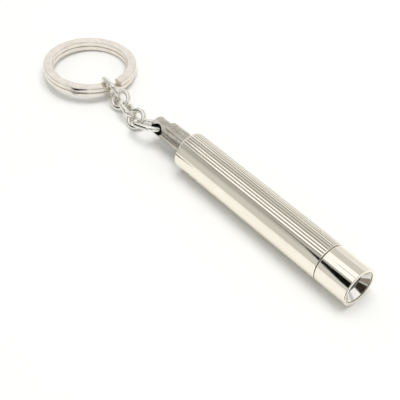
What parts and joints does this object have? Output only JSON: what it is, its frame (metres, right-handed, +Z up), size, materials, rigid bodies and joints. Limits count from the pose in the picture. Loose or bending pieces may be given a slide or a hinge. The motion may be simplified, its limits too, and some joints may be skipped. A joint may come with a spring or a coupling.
{
  "type": "keychain flashlight",
  "caption": "Slim silver torch with an engraved barrel and a twist head, a steel tail bar, a short link chain and a split key ring.",
  "frame": {"origin": "on the torch's axis, half way along the barrel sleeve; the table it lies on is 6.5 mm below", "axes": "+X along the torch towards the light, +Z up from the table"},
  "size_m": [0.1507, 0.0334, 0.013],
  "materials": {
    "polished_silver": "mirror polished silver",
    "bright_reflector": "bright turned cone",
    "satin_steel": "satin turned steel",
    "link_silver": "polished drawn wire",
    "ring_silver": "soft satin polish",
    "turned_aluminium": "fine turned",
    "black_rubber": "matt",
    "spring_steel": "drawn wire and stampings",
    "plated_steel": "nickel plated",
    "cell_jacket": "plain shrink film",
    "black_plastic": "moulded",
    "ferrite": "sintered ferrite",
    "white_plastic": "moulded",
    "contact_brass": "turned",
    "circuit_board": "solder resist",
    "led_resin": "clear cast resin",
    "lens_glass": "clear"
  },
  "bodies": {
    "torch": {"barrel_sleeve": "polished_silver", "body_tube": "turned_aluminium", "tail_plug": "satin_steel", "tail_saddle": "satin_steel", "tail_o_ring": "black_rubber", "battery_spring": "spring_steel", "battery_can": "plated_steel", "battery_jacket": "cell_jacket", "battery_seal": "black_plastic", "battery_cap": "plated_steel", "neck_o_ring": "black_rubber"},
    "lamp_carriage": {"lamp_holder": "black_plastic", "holder_cap": "white_plastic", "guide_pin": "spring_steel", "contact_pin": "contact_brass", "ground_ring": "contact_brass", "driver_board": "circuit_board", "driver_coil": "ferrite", "driver_chip": "black_plastic", "led_lamp": "led_resin", "led_leads": "plated_steel"},
    "head": {"head_shell": "polished_silver", "head_carrier": "turned_aluminium", "retaining_ring": "spring_steel", "reflector": "bright_reflector", "lens": "lens_glass", "lens_o_ring": "black_rubber"},
    "tail_link_body": {"tail_link": "link_silver"},
    "round_link_1_body": {"round_link_1": "link_silver"},
    "middle_link_body": {"middle_link": "link_silver"},
    "round_link_2_body": {"round_link_2": "link_silver"},
    "ring_link_body": {"ring_link": "link_silver"},
    "split_ring_body": {"split_ring": "ring_silver"}
  },
  "joints": [
    {"name": "lamp_travel", "type": "slide", "parent": "torch", "child": "lamp_carriage", "axis": [1, 0, 0], "range_m": [-0.0002, 0.0038]},
    {"name": "head_twist", "type": "hinge", "parent": "lamp_carriage", "child": "head", "pos_m": [0.0374, 0, 0], "axis": [1, 0, 0], "range_deg": [-90, 1800]},
    {"name": "tail_link_swing", "type": "hinge", "parent": "torch", "child": "tail_link_body", "pos_m": [-0.0451, 0, 0], "axis": [0, -0.9136, 0.4067], "range_deg": [-60, 60]},
    {"name": "round_link_1_swing", "type": "hinge", "parent": "tail_link_body", "child": "round_link_1_body", "pos_m": [-0.05699, -0.00169, -0.0038], "axis": [0, -0.9136, 0.4067], "range_deg": [-50, 50]},
    {"name": "middle_link_swing", "type": "hinge", "parent": "round_link_1_body", "child": "middle_link_body", "pos_m": [-0.06121, -0.00124, -0.00367], "axis": [0.008, 0.7615, 0.6481], "range_deg": [-50, 50]},
    {"name": "round_link_2_swing", "type": "hinge", "parent": "middle_link_body", "child": "round_link_2_body", "pos_m": [-0.06781, 0.00051, -0.00362], "axis": [0.1739, 0.7774, -0.6045], "range_deg": [-50, 50]},
    {"name": "ring_link_swing", "type": "hinge", "parent": "round_link_2_body", "child": "ring_link_body", "pos_m": [-0.07205, 0.00047, -0.00275], "axis": [0.0888, 0.7881, 0.6092], "range_deg": [-50, 50]},
    {"name": "split_ring_swing", "type": "hinge", "parent": "ring_link_body", "child": "split_ring_body", "pos_m": [-0.07945, 0.00079, -0.00228], "axis": [-0.0157, -0.1869, 0.9823], "range_deg": [-20, 20]}
  ],
  "couplings": [
    {"joint": "lamp_travel", "follows": "head_twist", "m_per_rad": 0.00011937}
  ]
}
